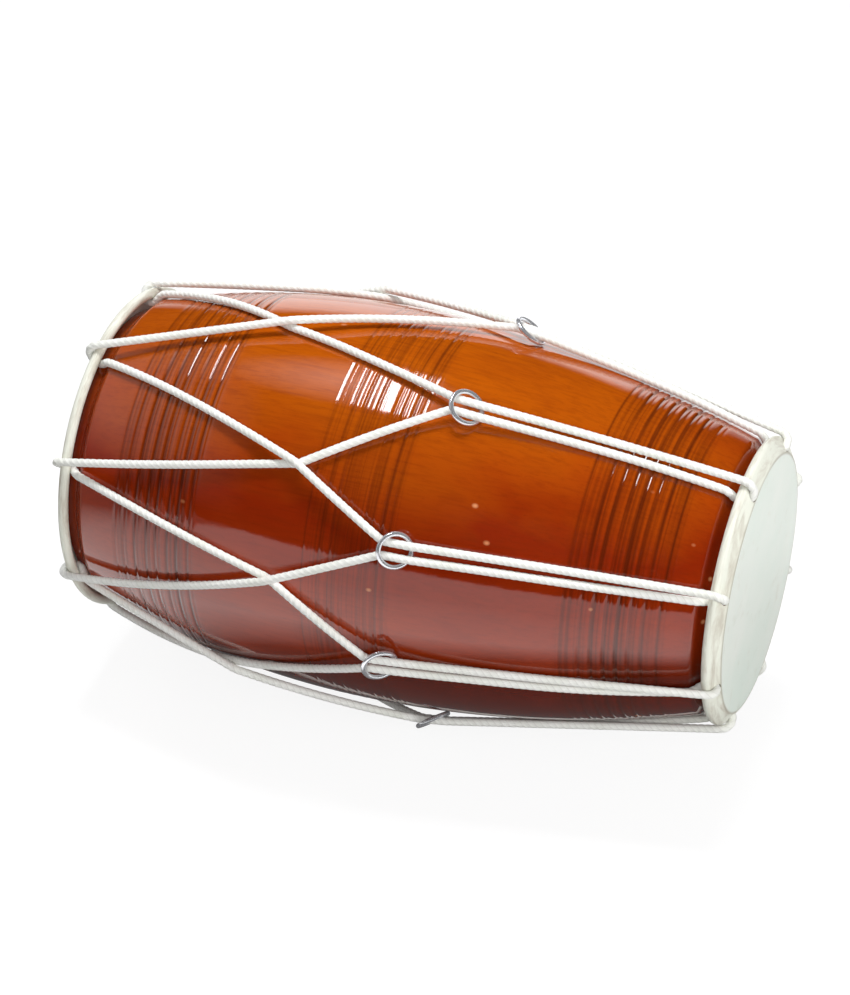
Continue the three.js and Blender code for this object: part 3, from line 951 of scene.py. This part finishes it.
def treble_line(station):
    seat = seats[station]
    angle = treble_hole_angles[station]
    loop = loop_line(treble_end, angle, loop_start, loop_end, loop_steps)
    supports = shell_supports(seat.low_place, hoop_place - lap_radius - rope_thickness)
    halves = []
    for side, place in ((1, loop[0]), (-1, loop[-1])):
        _, low, middle = ring_places(seat, side)
        along, turned, out = place_of(place)
        tight = tighten([(low[0], low[2]), *supports, (along, out)])
        leg = leg_line([low[:2], (along, near_angle(turned, angle))], tight)
        halves.append([spot(*middle), *leg])
    return halves[0] + loop[1:-1] + halves[1][::-1]


def wrapped(station):
    """A station past the last or before the first, as its own number and its turns in degrees."""
    turns = station // stations
    return station - turns * stations, -360 * turns


def crossing(station, goes_up):
    index, wraps = wrapped(station - 1 if goes_up else station)
    return crossing_place_shares[index] * hoop_place, crossing_angles[index] + wraps


def bass_parts(station, goes_up):
    """One bass leg: its turn round the hoop, its fixed stops and its tight line."""
    index, wraps = wrapped(station - 1 if goes_up else station + 1)
    high, _, middle = ring_places(seats[index], -1 if goes_up else 1)
    high = (high[0], high[1] + wraps, high[2])
    middle = (middle[0], middle[1] + wraps, middle[2])
    hole = bass_hole_angles[station]
    if goes_up:
        loop = loop_line(bass_end, hole, loop_split, loop_start, loop_steps)
    else:
        split = loop_split - as_angle(rope_gap, loop_radius)
        loop = loop_line(bass_end, hole, split, loop_end, split_loop_steps)
    along, turned, out = place_of(loop[-1])
    start = (along, near_angle(turned, hole), out)
    cross = crossing(station, goes_up)
    supports = shell_supports(-hoop_place + lap_radius + rope_thickness, high[0])
    tight = tighten([(start[0], start[2]), *supports, (high[0], high[2])])
    crosses_over = station % 2
    if crosses_over:
        other, _ = wrapped(station - 1 if goes_up else station + 1)
        below = height_on(bass_parts(other, not goes_up)[2], cross[0])
        over = (cross[0], below + rope_thickness + rope_gap)
        tight = tighten([*tight, over, *supports])
    return loop, [start, cross, high, middle], tight


def bass_line(station, goes_up):
    loop, (start, cross, high, middle), tight = bass_parts(station, goes_up)
    leg = leg_line([start[:2], cross, high[:2]], tight)
    return loop[:-1] + leg + [spot(*middle)]


section_curve = bpy.data.curves.new("rope_section", "CURVE")
section_curve.dimensions = "2D"
outline = section_curve.splines.new("POLY")
outline.points.add(section_points - 1)
outline.use_cyclic_u = True
for index, point in enumerate(outline.points):
    turned = math.tau * index / section_points
    lobe = abs(math.cos(strand_count * turned / 2))
    radius = rope_radius * (1 - strand_valley * (1 - lobe) ** valley_power)
    point.co = (radius * math.cos(turned), radius * math.sin(turned), 0, 1)
rope_section = bpy.data.objects.new("rope_section", section_curve)
bpy.context.scene.collection.objects.link(rope_section)


def twist_rope(name, spots, share=1.0):
    """A twisted rope along a line of even steps: the section turns as it goes."""
    curve = lay_curve(name, spots)
    curve.twist_mode = "MINIMUM"
    curve.bevel_mode = "OBJECT"
    curve.bevel_object = rope_section
    step = float(np.linalg.norm(spots[1] - spots[0]))
    for index, point in enumerate(curve.splines[0].points):
        point.radius = share
        point.tilt = math.tau * index * step / (lay_length * share)
    rope = as_mesh(name, curve)
    length = step * (len(spots) - 1)
    for corner in rope.data.uv_layers.active.data:
        corner.uv = (corner.uv[0] * length, corner.uv[1])
    shade(rope, sharp_angle=60)
    return rope


cotton, tree, shader = new_finish("twisted_cotton")
rope_map = add_node(tree, "ShaderNodeUVMap").outputs[0]
on_rope = add_node(tree, "ShaderNodeSeparateXYZ", {0: rope_map}).outputs
strand = work_out(tree, "FRACT", work_out(tree, "MULTIPLY", on_rope["Y"], strand_count))
from_valley = work_out(tree, "ABSOLUTE", work_out(tree, "SUBTRACT", strand, 0.5))
yarns_along = work_out(tree, "MULTIPLY", on_rope["X"], math.tau / yarn_length)
yarns_aside = work_out(tree, "MULTIPLY", on_rope["Y"], math.tau * yarns_round)
yarns = work_out(tree, "SINE", work_out(tree, "ADD", yarns_along, yarns_aside))
fluff = noise(tree, own_place(tree), scale=1500.0, roughness=0.6)
soiling = noise(tree, own_place(tree), scale=28.0, roughness=0.6)
white = mix_colours(tree, ranged(tree, soiling, 0.45, 0.70, end=0.5), cotton_white, soiled_grey)
# Painted shade darkens the valleys between the strands and, faintly, the gaps between the yarns.
white = mix_colours(tree, ranged(tree, from_valley, 0.38, 0.5, end=0.3), white, valley_shade_grey)
white = mix_colours(tree, ranged(tree, yarns, 0.0, -1.0, end=0.10), white, yarn_gap_shade_grey)
tree.links.new(white, shader.inputs["Base Color"])
shader.inputs["Roughness"].default_value = 0.9
shader.inputs["Specular IOR Level"].default_value = 0.15
shader.inputs["Sheen Weight"].default_value = 0.15
raised = raise_surface(tree, shader, yarns, strength=0.22, distance=0.12 * mm)
raise_surface(tree, shader, fluff, strength=0.25, distance=0.15 * mm, under=raised)


def dress_rope(rope, node):
    rope.data.materials.clear()
    rope.data.materials.append(cotton)
    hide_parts(node)


for station, seat in enumerate(seats):
    label = station + 1
    hairpin = twist_rope(f"treble_hairpin_{label}", eased(treble_line(station), bend_reach))
    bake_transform(hairpin)
    dress_rope(hairpin, f"treble_lacing_{label}")
    for goes_up, way in ((True, "over"), (False, "under")):
        index, _ = wrapped(station - 1 if goes_up else station + 1)
        target = seats[index]
        leg = twist_rope(f"bass_leg_{label}_{way}", eased(bass_line(station, goes_up), bend_reach))
        end = spot(target.along, target.angle, target.out)
        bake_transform(leg)
        dress_rope(leg, f"bass_lacing_{label}_{way}")

# Knots. Each rope's end is whipped round a leg with four turns of the same cotton and tucked, near
# the bass hoop and on the side away from the player.
knot_length = 15 * mm
knot_place_share = 0.86
knot_stations = (stations - 2, stations - 1)
whip_share = 0.6
whip_turns = 4
whip_steps = 150
heading_points = 6

for index, station in enumerate(knot_stations):
    line = evenly(bass_line(station, True), rope_step)
    along_leg = line[:, 0] - drum_middle.x
    nearest = int(np.argmin(np.abs(along_leg + knot_place_share * hoop_place)))
    heart = Vector(line[nearest])
    ahead = Vector(line[nearest + heading_points])
    behind = Vector(line[nearest - heading_points])
    heading = (ahead - behind).normalized()
    aside = heading.cross(Vector((1, 0, 0))).normalized()
    upward = heading.cross(aside)
    whip_radius = rope_radius * (1 + whip_share)
    whip_length = knot_length - 2 * rope_radius * whip_share
    spots = []
    for share in np.linspace(0, 1, whip_steps):
        wound = math.tau * whip_turns * share
        off = (aside * math.cos(wound) + upward * math.sin(wound)) * whip_radius
        spots.append(tuple(heart + heading * whip_length * (share - 0.5) + off))
    whipping = twist_rope(f"rope_end_knot_{index + 1}", evenly(spots, rope_step), whip_share)
    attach(whipping, "drum")
    dress_rope(whipping, f"lacing_knot_{index + 1}")
bpy.data.objects.remove(rope_section)
